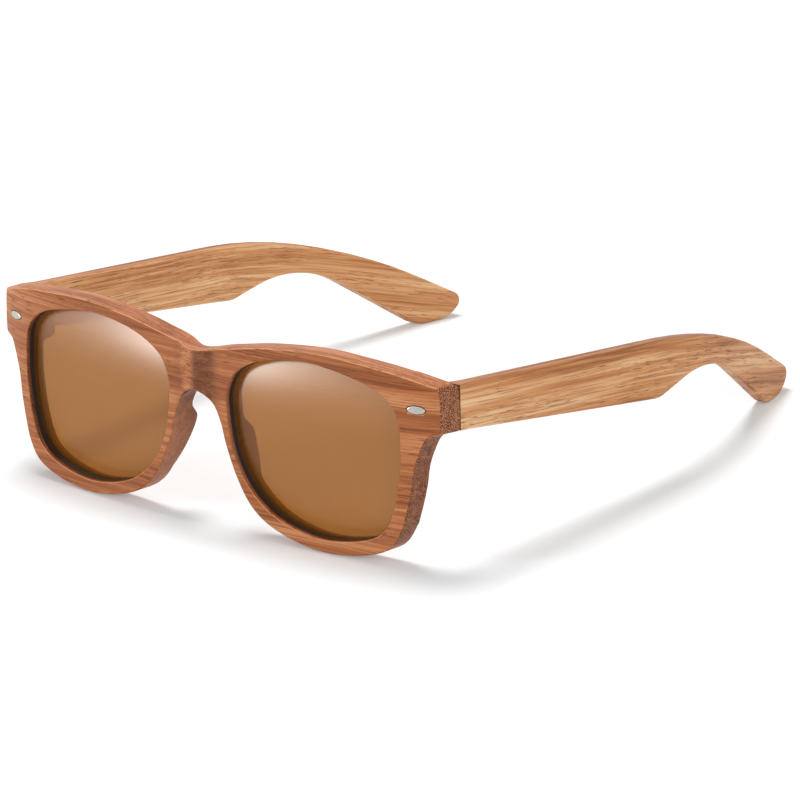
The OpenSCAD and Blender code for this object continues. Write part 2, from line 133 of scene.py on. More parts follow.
def rounded(corners):
    """A closed outline from corners of the form (x, y, radius)."""
    flat = [Vector(c[:2]) for c in corners]
    n = len(flat)
    return [q for i in range(n)
            for q in round_corner(flat[i - 1], flat[i], flat[(i + 1) % n], corners[i][2])]


def even(loop, gap):
    """The same closed outline with long stretches divided, so that no step is longer than gap."""
    out = []
    for a, b in zip(loop, loop[1:] + loop[:1]):
        n = max(1, math.ceil((b - a).length / gap))
        out += [a.lerp(b, i / n) for i in range(n)]
    return out


def soften(loop, corner, reach):
    """Trades the loop's points within reach of a corner for a small round."""
    at = min(range(len(loop)), key=lambda i: (loop[i] - corner).length)
    loop = loop[at:] + loop[:at]
    kept = [p for p in loop if (p - corner).length > reach]
    a, b = kept[-1], kept[0]
    bend = [(1 - t) ** 2 * a + 2 * t * (1 - t) * corner + t * t * b for t in (0.2, 0.4, 0.6, 0.8)]
    return kept + bend


def turned(loop, left):
    """The loop with its material on its left: counter-clockwise if left, else clockwise."""
    area = sum(a.x * b.y - a.y * b.x for a, b in zip(loop, loop[1:] + loop[:1]))
    return loop if (area > 0) == left else loop[::-1]


def ramp(low, high, value):
    """0 below low, 1 above high, and a smooth rise between."""
    t = max(0.0, min(1.0, (value - low) / (high - low)))
    return t * t * (3 - 2 * t)


# %% Outlines of the front and the lens openings
OPENING = [(1, 0.19), (0.965, 0.57), (0.81, 0.79), (0.5, 0.92), (0, 1), (-0.51, 0.93), (-0.85, 0.75),
           (-0.985, 0.5), (-1, 0.24), (-0.925, -0.22), (-0.73, -0.61), (-0.4, -0.88), (0.08, -1),
           (0.55, -0.925), (0.81, -0.76), (0.925, -0.47), (0.985, -0.11)]
RIM = [(0.995, 0.04), (0.96, -0.22), (0.914, -0.455), (0.855, -0.665), (0.74, -0.84), (0.5, -0.95),
       (0.17, -1), (-0.13, -0.97), (-0.44, -0.865), (-0.65, -0.7), (-0.8, -0.44), (-0.91, -0.14),
       (-0.97, 0.09)]
END_CURVE = [(0, 0), (0.565, 0.315), (1, 1)]
CURVE_STEPS = 10
OUTLINE_STEP = 0.9


def opening(grow):
    """The outline of a lens opening, grown all round."""
    return smooth_loop([Vector((EYE.x + x * (HALF_W + grow), EYE.y + y * (HALF_H + grow)))
                        for x, y in OPENING], CURVE_STEPS)


def mirrored(loop):
    return [Vector((-p.x, p.y)) for p in loop]


top_points = [Vector(p) for p in (
    (0, BROW - BRIDGE_DIP), (BRIDGE_W / 2, BROW - 0.67 * BRIDGE_DIP),
    (EYE.x - HALF_W * 0.55, BROW - 0.26 * BRIDGE_DIP), (EYE.x, BROW),
    (EYE.x + HALF_W * 0.45, BROW - 0.07 * END_DIP), (EYE.x + HALF_W, BROW - 0.4 * END_DIP), (END, END_TOP))]
top_edge = smooth_run(Vector((-BRIDGE_W / 2, top_points[1].y)), top_points,
                      2 * top_points[-1] - top_points[5], CURVE_STEPS)
low_points = [Vector((END - x * END_RUN, END_LOW - y * END_DROP)) for x, y in END_CURVE]
low_points += [Vector((EYE.x + x * (HALF_W + (RIM_SIDE if x > 0 else RIM_BOTTOM)),
                       EYE.y + y * (HALF_H + RIM_BOTTOM))) for x, y in RIM]
low_points += [Vector((ARCH_HALF, ARCH_TOP - ARCH_DROP)), Vector((0, ARCH_TOP))]
low_edge = smooth_run(Vector((END + END_CURVE[1][0] * END_RUN, END_LOW)), low_points,
                      Vector((-ARCH_HALF, ARCH_TOP - ARCH_DROP)), CURVE_STEPS)
half = top_edge + low_edge
front_outline = turned(half[:-1] + mirrored(half)[::-1][:-1], True)
END_ROUND = 0.55
for corner in (Vector((s * END, v)) for s in (1, -1) for v in (END_TOP, END_LOW)):
    front_outline = soften(front_outline, corner, END_ROUND)
front_outline = even(front_outline, OUTLINE_STEP)
print("front outline:", len(front_outline), "points; lens opening:", len(opening(0)))


def wrap(across):
    """How far the front face lies back: two arcs, and the soft ridge on the bridge."""
    a = abs(across)
    back = WRAP_R - math.sqrt(WRAP_R ** 2 - min(a, CURL_AT) ** 2)
    if a > CURL_AT:
        lead = CURL_AT / WRAP_R
        turn = lead + (a - CURL_AT) / CURL_R
        back += CURL_R * (math.sqrt(1 - lead ** 2) - math.sqrt(1 - turn ** 2))
    if a < RIDGE_HALF:
        back -= RIDGE_H * (1 + math.cos(math.pi * a / RIDGE_HALF)) / 2
    return back


# %% [markdown]
# ## A sanded plate
# Front, temples and lenses are all plates: an outline, maybe with openings, between two gently
# shaped faces. A bevel modifier on a flat plate would be the quick way, but the faces here are
# curved. So each face is laid out as rings that follow the edges, rolled over like sanded wood,
# with a fine net of triangles between them. Both faces are then joined by the walls.

# %% Plate maker
EASE_STEPS = 4
# The net starts a little further in than the rolled edge, its rows lie closer than its points,
# and its points keep off the edge by a share of the gap, or the extra ones by a small distance
NET_START, ROW_SHARE, EDGE_SHARE, EXTRA_ROOM = 1.35, 0.87, 0.45, 0.12
# Sharp corners would throw an inset point far out, so its move is limited
SHARPEST = 0.6


def inset(loop, distance):
    """The loop moved to its left by a distance for each of its points."""
    out = []
    for i, p in enumerate(loop):
        into = (p - loop[i - 1]).normalized()
        away = (loop[(i + 1) % len(loop)] - p).normalized()
        left = Vector((-into.y, into.x))
        middle = (left + Vector((-away.y, away.x))).normalized()
        out.append(p + middle * (distance[i] / max(SHARPEST, middle.dot(left))))
    return out


def within(points, loops):
    """Which points lie inside an odd number of the loops."""
    inside = np.zeros(len(points), bool)
    for loop in loops:
        a = np.array([tuple(p) for p in loop])
        b = np.roll(a, -1, axis=0)
        for (x1, y1), (x2, y2) in zip(a, b):
            if y1 != y2:
                crosses = (points[:, 1] < y1) != (points[:, 1] < y2)
                inside ^= crosses & (points[:, 0] < x1 + (points[:, 1] - y1) * (x2 - x1) / (y2 - y1))
    return inside


def plate(loops, near, far, ease_near, ease_far, gap, grooves=None, extra=()):
    """Points (x, y, depth) and faces of a closed plate. Each loop has its material on its left;
    near and far give the depth of the faces, the eases how far their edges are rolled over,
    and grooves the rings (loop, depth) that an opening's wall passes on its way from near to far."""
    points, faces = [], []

    def put(flat, depth):
        start = len(points)
        points.extend((p.x, p.y, d) for p, d in zip(flat, depth))
        return list(range(start, len(points)))

    def strip(a, b):
        n = len(a)
        faces.extend((a[i], a[(i + 1) % n], b[(i + 1) % n], b[i]) for i in range(n))

    def face(depth, ease, sign):
        """Rolled edges and the net between them; returns each loop's outermost ring."""
        rims, inner = [], []
        for loop, radius_at in zip(loops, ease):
            radius = [radius_at(p) for p in loop]
            rings = []
            for k in range(EASE_STEPS + 1):
                angle = math.pi / 2 * k / EASE_STEPS
                flat = inset(loop, [r * (1 - math.cos(angle)) for r in radius])
                rolled = [depth(p) + sign * r * (1 - math.sin(angle)) for p, r in zip(flat, radius)]
                rings.append((put(flat, rolled), flat))
            flat = inset(loop, [NET_START * r for r in radius])
            rings.append((put(flat, [depth(p) for p in flat]), flat))
            for (a, _), (b, _) in zip(rings, rings[1:]):
                strip(*((a, b) if sign > 0 else (b, a)))
            rims.append(rings[0][0])
            inner.append(rings[-1])
        edge = np.array([tuple(p) for _, flat in inner for p in flat])
        low, high = edge.min(0), edge.max(0)
        grid = np.array([(x + (gap / 2 if j % 2 else 0), y)
                         for j, y in enumerate(np.arange(low[1], high[1], gap * ROW_SHARE))
                         for x in np.arange(low[0], high[0], gap)])
        room = np.array([gap * EDGE_SHARE] * len(grid) + [EXTRA_ROOM] * len(extra))
        grid = np.vstack([grid, np.array(extra).reshape(-1, 2)])
        inside = within(grid, [flat for _, flat in inner])
        near_edge = np.array([np.min(np.hypot(*(edge - g).T)) for g in grid])
        grid = [Vector(g) for g in grid[inside & (near_edge > room)]]
        index = [i for ids, _ in inner for i in ids] + put(grid, [depth(p) for p in grid])
        flat = [p for _, loop in inner for p in loop] + grid
        sides, start = [], 0
        for ids, _ in inner:
            sides += [(start + i, start + (i + 1) % len(ids)) for i in range(len(ids))]
            start += len(ids)
        found, _, cells, origin, _, _ = delaunay_2d_cdt(flat, sides, [], 0, 1e-6)
        middle = np.array([[sum(found[i][k] for i in c) / 3 for k in (0, 1)] for c in cells])
        for keep, cell in zip(within(middle, [loop for _, loop in inner]), cells):
            if keep:
                ids = [index[origin[i][0]] for i in cell]
                faces.append(tuple(ids if sign > 0 else ids[::-1]))
        return rims

    for k, (a, b) in enumerate(zip(face(near, ease_near, 1), face(far, ease_far, -1))):
        rings = [a] + [put(flat, depth) for flat, depth in (grooves or {}).get(k, [])] + [b]
        for p, q in zip(rings, rings[1:]):
            strip(q, p)
    return points, faces


def piece(name, points, faces, place, flip=False):
    """A Blender object from points in millimetres, placed by a function, with soft shading."""
    mesh = bpy.data.meshes.new(name)
    mesh.from_pydata([place(*p) for p in points], [], [f[::-1] if flip else f for f in faces])
    mesh.validate()
    obj = bpy.data.objects.new(name, mesh)
    bpy.context.scene.collection.objects.link(obj)
    shade(obj)
    return obj


def shade(obj, angle=math.radians(38)):
    """Smooth shading, with edges sharper than the angle kept crisp."""
    obj.data.polygons.foreach_set("use_smooth", [True] * len(obj.data.polygons))
    obj.data.set_sharp_from_angle(angle=angle)
    even_shade = obj.modifiers.new("even_shade", "WEIGHTED_NORMAL")
    even_shade.keep_sharp = True


# %% [markdown]
# ## Pockets
# The hinge leaves and rivets are let into the wood. The pockets are cut like a maker cuts them,
# after the outside is shaped: a Boolean modifier with a plain cutter, applied and then removed.

# %% Pocket cutter
def block(name, low, high, side):
    """A cutter: a box in the upright drawing, (across, back, up)."""
    xs, ys, zs = (low[0], high[0]), (low[1], high[1]), (low[2], high[2])
    corners = [(xs[i & 1], ys[i >> 1 & 1], zs[i >> 2 & 1]) for i in range(8)]
    sides = [(0, 2, 3, 1), (4, 5, 7, 6), (0, 1, 5, 4), (2, 6, 7, 3), (0, 4, 6, 2), (1, 3, 7, 5)]
    mesh = bpy.data.meshes.new(name)
    mesh.from_pydata([stand(side, *c) for c in corners], [], [f if side > 0 else f[::-1] for f in sides])
    obj = bpy.data.objects.new(name, mesh)
    bpy.context.scene.collection.objects.link(obj)
    return obj


def cut(obj, cutters):
    """Cuts the pockets into the object for good and clears the cutters away."""
    for tool in cutters:
        pocket = obj.modifiers.new("pocket", "BOOLEAN")
        pocket.operation, pocket.solver, pocket.object = "DIFFERENCE", "EXACT", tool
        bpy.context.view_layer.update()
        finished = obj.evaluated_get(bpy.context.evaluated_depsgraph_get())
        shaped = bpy.data.meshes.new_from_object(finished)
        obj.modifiers.clear()
        obj.data = shaped
        bpy.data.objects.remove(tool)
    shade(obj)


# %% [markdown]
# ## The front
# The real front is one piece of wood, bent over a former. Its back carries the two nose pads,
# is hollowed behind the bridge, and steps out to thick blocks where the hinges are screwed on.
# All of that can be written as a depth for each point of the outline, which keeps one clean mesh.

# %% Shape of the front's back
BLOCK_IN, BLOCK_SLOPE, LEDGE = 62.3, 3.0, 0.3
BRIDGE_HOLLOW, HOLLOW_HALF = 1.1, 5.0
PAD_FADE = 4.0


def nose_pad(up):
    """How far the nose pads stand out behind the front at a height."""
    return PAD_D * ramp(PAD_LOW, PAD_PEAK - 1, up) * (1 - ramp(PAD_PEAK - 0.5, PAD_TOP + 0.5, up))


def front_face(p):
    return wrap(p.x)


def front_back(p):
    a = abs(p.x)
    back = wrap(a) + FRONT_T - BRIDGE_HOLLOW * math.exp(-(a / HOLLOW_HALF) ** 2)
    reach = BRIDGE_W / 2 + PAD_REACH
    pad = FRONT_T + nose_pad(p.y) * (1 - ramp(reach - PAD_FADE, reach, a))
    back = max(back, pad) if nose_pad(p.y) > 0 else back
    step = ramp(BLOCK_IN - BLOCK_SLOPE, BLOCK_IN, a) * ramp(END_LOW - 1.2, END_LOW - 0.2, p.y)
    step *= 1 - ramp(END_TOP - LEDGE, END_TOP + 0.05, p.y)
    return back + (SEAM_DEPTH - back) * step


def front_place(x, up, depth):
    """Where a point of the front stands. Under the endpieces the wood falls a little to the seam."""
    falling = ramp(END_LOW - 3, END_LOW - 1, up) * (1 - ramp(END_LOW, END_LOW + 4, up))
    falling *= ramp(BLOCK_IN - BLOCK_SLOPE, BLOCK_IN, abs(x))
    share = min(max((depth - wrap(END)) / (SEAM_DEPTH - wrap(END)), 0), 1)
    return stand(1, x, depth, up - END_FALL * share * falling)


# %% Front of wood
FRONT_EDGE, OPENING_EDGE, BACK_EDGE, BLOCK_EDGE = 0.45, 0.28, 0.6, 0.25
FRONT_NET = 1.5


def edge_ease(p):
    return FRONT_EDGE


def opening_ease(p):
    return OPENING_EDGE


def back_ease(p):
    return BLOCK_EDGE if abs(p.x) > BLOCK_IN else BACK_EDGE


def both_ends(across, up):
    """Extra net points at both ends of the front, where its back steps out to the blocks."""
    return [(s * u, v) for s in (1, -1) for u in across for v in up]


openings = [turned(opening(0), False), turned(mirrored(opening(0)), False)]
grown = [turned(opening(LINER_BITE), False), turned(mirrored(opening(LINER_BITE)), False)]
grooves = {}
for k, (tight, wide) in enumerate(zip(openings, grown)):
    grooves[k + 1] = [(flat, [wrap(p.x) + depth for p in flat]) for flat, depth in (
        (tight, LIP_T), (wide, LIP_T), (wide, LIP_T + LINER_D), (tight, LIP_T + LINER_D))]
slope = both_ends(np.arange(58.7, 63.2, 0.45), np.arange(END_LOW - 1.6, END_TOP + 1.1, 0.9))
under = both_ends(np.arange(59.0, 70.5, 0.8), np.arange(END_LOW - 1.5, END_LOW + 0.3, 0.3))
ledge = both_ends(np.arange(58.7, 72.4, 0.5), END_TOP + np.arange(-0.4, 0.15, 0.07))
front_wood = piece("front_wood", *plate(
    [front_outline] + openings, front_face, front_back, [edge_ease, opening_ease, opening_ease],
    [back_ease, opening_ease, opening_ease], FRONT_NET, grooves, slope + under + ledge), front_place)
print("front:", len(front_wood.data.vertices), "points")

# %% [markdown]
# ## Rivets and hinge pockets in the front
# The oval rivet heads sit in shallow pockets on the curled ends of the front, with a hair of
# dark gap round them. They are turned to lie flat on the curl.

# %% Rivets
RIVET_AT = END - RIVET_IN
RIVET_UP = (END_TOP + END_LOW) / 2
HINGE_UP = RIVET_UP - 1.0
RIVET_TURN = math.asin(CURL_AT / WRAP_R + (RIVET_AT - CURL_AT) / CURL_R)
RIVET_STEPS = 48
POCKET_ROOM = 0.18


def on_curl(side, a, b, out):
    """A point a along, b above and out in front of the rivet's middle."""
    return stand(side, RIVET_AT + a * math.cos(RIVET_TURN) + out * math.sin(RIVET_TURN),
                 wrap(RIVET_AT) + a * math.sin(RIVET_TURN) - out * math.cos(RIVET_TURN), RIVET_UP + b)


def oval(name, side, profile, grow=0.0):
    """A closed oval button from rings (share of its size, height)."""
    points, faces = [], []
    for share, out in profile:
        for i in range(RIVET_STEPS):
            angle = 2 * math.pi * i / RIVET_STEPS
            points.append(((RIVET_L / 2 + grow) * share * math.cos(angle),
                           (RIVET_H / 2 + grow) * share * math.sin(angle), out))
    for k in range(len(profile) - 1):
        for i in range(RIVET_STEPS):
            j = (i + 1) % RIVET_STEPS
            a, b = k * RIVET_STEPS, (k + 1) * RIVET_STEPS
            faces.append((a + i, a + j, b + j, b + i))
    faces.append(tuple(range(RIVET_STEPS))[::-1])
    faces.append(tuple(range(len(points) - RIVET_STEPS, len(points))))
    return piece(name, points, faces, lambda a, b, out: on_curl(side, a, b, out), side < 0)


SIDES = {"left": 1, "right": -1}
RIVET_DOME = [(1, -RIVET_SUNK), (1, -0.02), (0.985, 0.07), (0.95, 0.13), (0.88, 0.18), (0.7, 0.22),
              (0.4, 0.24), (0.15, RIVET_PROUD)]
RIVET_POCKET = [(1, -RIVET_SUNK + 0.05), (1, 1.5)]
LEAF_ROOM, FRONT_LEAF_H = 0.03, 7.2
FRONT_LEAF_IN, FRONT_LEAF_OUT, FRONT_LEAF_AT, POCKET_END = 63.3, 69.5, 13.0, 15.0
rivets = {}
for word, side in SIDES.items():
    pocket = oval("rivet_pocket", side, RIVET_POCKET, POCKET_ROOM)
    low = (FRONT_LEAF_IN - LEAF_ROOM, FRONT_LEAF_AT - LEAF_ROOM, HINGE_UP - FRONT_LEAF_H / 2 - LEAF_ROOM)
    high = (FRONT_LEAF_OUT + LEAF_ROOM, POCKET_END, HINGE_UP + FRONT_LEAF_H / 2 + LEAF_ROOM)
    leaf = block("leaf_pocket", low, high, side)
    cut(front_wood, [pocket, leaf])
    rivets[word] = oval("rivet_head_" + word, side, RIVET_DOME)
    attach(rivets[word], "front")
    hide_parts("rivet_" + word)
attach(front_wood, "front")
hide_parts("front_frame")
print("front after its pockets:", len(front_wood.data.vertices), "points")

# %% [markdown]
# ## Temples
# Each temple is sawn from a flat board and bent inward behind the ear. Its side outline is
# straight runs and round corners; from above it follows a straight run, an arc and the tip.

# %% Temple outline and bend
TOP_BEND, TOP_DROP, TOP_BEND_R = 101.0, 7.6, 150.0
NOTCH_AT, NOTCH_H, NOTCH_R = 72.5, 14.8, 8.0
HOLLOW_RUN, HOLLOW_RISE, HOLLOW_R = 23.5, 5.9, 32.0
TIP_OVER, TIP_FLAT, HEEL_R, TIP_END_H, TIP_R, TOE_R = 4.4, 9.4, 7.0, 5.2, 2.58593, 7.71217
TEMPLE_SIT, TABLE_UP = 0.3, -0.443289
SEAM_ROUND = 0.15
# The outer face keeps this far inside its solid
SKIN = 0.03


def table(back):
    """The height of the table in the upright drawing."""
    return TABLE_UP + back * math.tan(LEAN)


toe = SEAM + TEMPLE_LEN - TIP_OVER
notch = Vector((SEAM + NOTCH_AT, END_TOP - TOP_DROP * NOTCH_AT / TOP_BEND - NOTCH_H))
temple_outline = even(turned(rounded([
    (SEAM, END_TOP - TEMPLE_SIT, SEAM_ROUND), (SEAM + TOP_BEND, END_TOP - TOP_DROP, TOP_BEND_R),
    (SEAM + TEMPLE_LEN, table(toe) + TIP_END_H, TIP_R), (toe, table(toe), TOE_R),
    (toe - TIP_FLAT, table(toe - TIP_FLAT), HEEL_R), (notch.x + HOLLOW_RUN, notch.y + HOLLOW_RISE, HOLLOW_R),
    (notch.x, notch.y, NOTCH_R), (SEAM, END_LOW - END_FALL, SEAM_ROUND)]), True), OUTLINE_STEP)
print("temple outline:", len(temple_outline), "points")


def temple_path():
    """Points along the middle of a temple seen from above, and the heading at each."""
    start = Vector((END - TEMPLE_T / 2 + BEND_AT * math.tan(SPLAY), SEAM + BEND_AT))
    ahead = Vector((math.sin(SPLAY), math.cos(SPLAY)))
    path = [(start - t * ahead, SPLAY) for t in np.linspace(BEND_AT + 4, 1, 20).tolist()]
    for a in np.linspace(0, BEND_ANGLE, 40).tolist():
        turn = Vector((math.cos(SPLAY - a) - math.cos(SPLAY), math.sin(SPLAY) - math.sin(SPLAY - a)))
        path.append((start + BEND_R * turn, SPLAY - a))
    end, heading = path[-1]
    ahead = Vector((math.sin(heading), math.cos(heading)))
    return path + [(end + t * ahead, heading) for t in np.linspace(1, 60, 20).tolist()]


path = temple_path()
beside = {out: np.array([tuple(p + out * Vector((math.cos(h), -math.sin(h)))) for p, h in path])
          for out in (TEMPLE_T / 2 - SKIN, -TEMPLE_T / 2)}


def temple_outer(p):
    line = beside[TEMPLE_T / 2 - SKIN]
    return -float(np.interp(p.x, line[:, 1], line[:, 0]))


def temple_inner(p):
    line = beside[-TEMPLE_T / 2]
    return -float(np.interp(p.x, line[:, 1], line[:, 0]))


SEAM_EASE, TEMPLE_EASE = 0.1, 0.62


def temple_ease(p):
    """Edges are nearly square at the seam, to meet the endpiece, and rounder behind it."""
    return SEAM_EASE + TEMPLE_EASE * ramp(SEAM + 0.5, SEAM + 4, p.x)


# %% Temples of wood
POCKET_H, STACK_H, LEAF_BACK, LEAF_L = 6.84, 4.74, 17.7, 8.0
INNER, LEAF = END - TEMPLE_T, END - TEMPLE_T + 1.0
# The cutters stand out of the wood, and the recess starts inside the knuckles' pocket
CUT_PAST, KNUCKLE_ROOM, OVERLAP = 1, 0.35, 0.2
TEMPLE_NET = 1.7
temples = {}
for word, side in SIDES.items():
    shape = plate([temple_outline], temple_outer, temple_inner, [temple_ease], [temple_ease], TEMPLE_NET)
    wood = piece("temple_wood_" + word, *shape, lambda x, y, d: stand(side, -d, x, y), side < 0)
    low = (INNER - CUT_PAST, SEAM - CUT_PAST, HINGE_UP - POCKET_H / 2)
    knuckles = block("knuckle_pocket", low, (LEAF + KNUCKLE_ROOM, LEAF_BACK, HINGE_UP + POCKET_H / 2), side)
    low = (INNER - CUT_PAST, LEAF_BACK - OVERLAP, HINGE_UP - STACK_H / 2 - LEAF_ROOM)
    high = (LEAF + LEAF_ROOM, LEAF_BACK + LEAF_L + LEAF_ROOM, HINGE_UP + STACK_H / 2 + LEAF_ROOM)
    recess = block("leaf_recess", low, high, side)
    cut(wood, [knuckles, recess])
    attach(wood, f"temple_{word}_arm")
    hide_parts("temple_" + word)
    temples[word] = wood
print("temple:", len(wood.data.vertices), "points")

# %% [markdown]
# ## Lenses and liners
# The lenses are a little domed, as real ones are, so the light slides over them. They snap into
# a black liner that lines the groove in the wood, and only its inner band shows.

# %% Lenses
DOME = 0.5
LENS_DEPTH = LIP_T + LINER_FRONT
LENS_EDGE, LENS_NET = 0.12, 1.6


def dome(p):
    """How far the lens stands forward of its edge."""
    return DOME * (1 - ((p.y - EYE.y) / (HALF_H + LENS_BITE)) ** 2)


def lens_face(p):
    return wrap(p.x) + LENS_DEPTH - dome(p)


def lens_back(p):
    return lens_face(p) + LENS_T


def lens_ease(p):
    return LENS_EDGE


lenses, liners = {}, {}
for word, side in SIDES.items():
    outline = turned(opening(LENS_BITE), True)
    shape = plate([outline], lens_face, lens_back, [lens_ease], [lens_ease], LENS_NET)
    lenses[word] = piece("lens_tinted_" + word, *shape, lambda x, y, d: stand(side, x, d, y), side < 0)
    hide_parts("lens_" + word)
    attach(lenses[word], "front")
print("lens:", len(lenses["left"].data.vertices), "points")

# %% Liners
FLUSH, SNUG = 0.05, 0.02
LINER_END = LIP_T + LINER_D


def liner_mesh():
    """One closed ring: a profile of (grow, depth, follows the dome) swept round the opening."""
    profile = [(FLUSH, LENS_DEPTH, 1), (FLUSH, LIP_T + 0.3, 0), (0.1, LIP_T + 0.1, 0),
               (0.25, LIP_T + SNUG, 0), (LINER_BITE - SNUG, LIP_T + SNUG, 0),
               (LINER_BITE - SNUG, LINER_END - SNUG, 0),
               (0.25, LINER_END - SNUG, 0), (0.1, LINER_END - 0.1, 0), (FLUSH, LINER_END - 0.25, 0),
               (FLUSH, LENS_DEPTH + LENS_T, 1), (LENS_BITE + SNUG, LENS_DEPTH + LENS_T, 1),
               (LENS_BITE + SNUG, LENS_DEPTH, 1)]
    points, faces = [], []
    for grow, depth, domed in profile:
        flat = turned(opening(grow), True)
        points += [(p.x, p.y, wrap(p.x) + depth - domed * dome(p)) for p in flat]
    n, m = len(flat), len(profile)
    for k in range(m):
        a, b = k * n, (k + 1) % m * n
        faces += [(a + i, b + i, b + (i + 1) % n, a + (i + 1) % n) for i in range(n)]
    return points, faces


for word, side in SIDES.items():
    liners[word] = piece("lens_liner_band_" + word, *liner_mesh(),
                         lambda x, y, d: stand(side, x, d, y), side < 0)
    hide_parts("lens_liner_" + word)
    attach(liners[word], "front")
print("liner:", len(liners["left"].data.vertices), "points")

# %% [markdown]
# ## Hinge parts
# The leaves, knuckles and screws are small machined parts that the CAD model already has right.
# They stay as they are and only get a fine bevel, so that their edges catch the light.

# %% Fine edges on the hinge parts
METAL_BEVEL, BEVEL_ANGLE = 0.00006, math.radians(40)
hinge_nodes = [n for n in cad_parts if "leaf" in n or "screw" in n]
for name in hinge_nodes:
    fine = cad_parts[name].modifiers.new("fine_edge", "BEVEL")
    fine.width, fine.segments = METAL_BEVEL, 2
    fine.limit_method, fine.angle_limit = "ANGLE", BEVEL_ANGLE
print("hinge parts:", len(hinge_nodes))

# %% [markdown]
# ## Writing materials as sums
# A finish is arithmetic on patterns: streaks plus pores, times how much end grain shows. To write
# it that way, one small class stands for a socket of the material, and each operation on it adds
# the Math node that does it. Colours are mixed with Mix nodes, since Math would turn them grey.

# %% Wire: a socket with arithmetic
class Wire:
    def __init__(self, tree, socket):
        self.tree, self.socket = tree, socket

    def add(self, kind, settings, sockets, out=0):
        """Adds a node: its settings first, then the values or links of its sockets."""
        node = self.tree.nodes.new(kind)
        for name, value in settings.items():
            if name == "stops":
                while len(node.color_ramp.elements) < len(value):
                    node.color_ramp.elements.new(0.5)
                for stop, (at, colour) in zip(node.color_ramp.elements, value):
                    stop.position, stop.color = at, colour
            else:
                setattr(node, name, value)
        for name, value in sockets.items():
            if isinstance(value, Wire):
                self.tree.links.new(value.socket, node.inputs[name])
            else:
                node.inputs[name].default_value = value
        return Wire(self.tree, node.outputs[out])

    def math(self, operation, a, b=0.0):
        return self.add("ShaderNodeMath", {"operation": operation}, {0: a, 1: b})

    def __add__(self, other):
        return self.math("ADD", self, other)

    def __sub__(self, other):
        return self.math("SUBTRACT", self, other)

    def __rsub__(self, other):
        return self.math("SUBTRACT", other, self)

    def __mul__(self, other):
        return self.math("MULTIPLY", self, other)

    __radd__, __rmul__ = __add__, __mul__

    def between(self, low, high):
        """0 below low, 1 above high, smooth between."""
        return self.add("ShaderNodeMapRange", {"interpolation_type": "SMOOTHSTEP"},
                        {0: self, 1: low, 2: high})

    def tint(self, off, on):
        """A colour that goes from off to on as this value goes from 0 to 1."""
        return self.add("ShaderNodeMix", {"data_type": "RGBA"}, {"Factor": self, 6: off, 7: on}, 2)

    def stretched(self, size):
        """This place divided by a size in millimetres along each axis."""
        return self.add("ShaderNodeVectorMath", {"operation": "MULTIPLY"},
                        {0: self, 1: [1000 / s for s in size]})

    def noise(self, size, detail=2.0, rough=0.5, bend=0.0):
        """Soft noise with features of about that size."""
        return self.add("ShaderNodeTexNoise", {}, {
            "Vector": self.stretched(size), "Scale": 1.0, "Detail": detail,
            "Roughness": rough, "Distortion": bend}, "Fac")


def colour(r, g, b):
    """A colour picked from a screen, 0 to 255, as Blender's linear light."""
    return [c / 255 / 12.92 if c < 10 else ((c / 255 + 0.055) / 1.055) ** 2.4 for c in (r, g, b)] + [1.0]


def finish(name):
    """A new material: its place on the object, the object's own normal, and its shader."""
    material = bpy.data.materials.new(name)
    material.use_nodes = True
    tree = material.node_tree
    spot = tree.nodes.new("ShaderNodeTexCoord").outputs
    return material, Wire(tree, spot["Object"]), Wire(tree, spot["Normal"]), tree.nodes["Principled BSDF"]


def feed(shader, **sockets):
    """Sets or links a shader's sockets by name."""
    for name, value in sockets.items():
        socket = shader.inputs[name.replace("_", " ").title().replace("Ior", "IOR")]
        if isinstance(value, Wire):
            value.tree.links.new(value.socket, socket)
        else:
            socket.default_value = value


def dress(obj, material):
    obj.data.materials.clear()
    obj.data.materials.append(material)


# %% [markdown]
# ## Wood
# The wood is a warm red-brown with fine straight grain. Painting grain on each face separately
# would break it at every edge. A solid pattern, drawn out along the grain, behaves like timber:
# long streaks on the faces, and dots where it is cut across. Cut ends also drink more oil, so
# they go darker and duller. `along` is the axis that the grain follows.

# %% Wood finish
def axes(wire):
    """The three parts of a place or a normal."""
    return [wire.add("ShaderNodeSeparateXYZ", {}, {"Vector": wire}, k) for k in range(3)]


def size_of(wire):
    return wire.math("ABSOLUTE", wire)


def sag(run, radius):
    """How far an arc, its radius in millimetres, has bent away after a run in metres."""
    return run * run * (500 / radius)


GRAIN_FALL = 0.6


def straightened(place):
    """The place with the temples' inward bend undone, so that the grain follows the bent board,
    which also falls towards the tip."""
    across, back, up = axes(place)
    past = back - (SEAM + BEND_AT + SET_BACK) / 1000
    past = past.math("MAXIMUM", past)
    turning = past.math("MINIMUM", past, BEND_R * math.sin(BEND_ANGLE) / 1000)
    inward = sag(turning, BEND_R) + (past - turning) * math.tan(BEND_ANGLE)
    return place.add("ShaderNodeCombineXYZ", {},
                     {0: size_of(across) + inward, 1: back, 2: up + inward * GRAIN_FALL})


def flattened(place):
    """The place with the curve of the front undone, so that the grain follows the curved board."""
    across, back, up = axes(place)
    reach, start = size_of(across), CURL_AT / 1000
    near, past = reach.math("MINIMUM", reach, start), reach.math("MAXIMUM", reach - start)
    wrapped = sag(near, WRAP_R) + sag(past, CURL_R) + past * (CURL_AT / WRAP_R)
    return place.add("ShaderNodeCombineXYZ", {}, {0: across, 1: back - wrapped, 2: up})


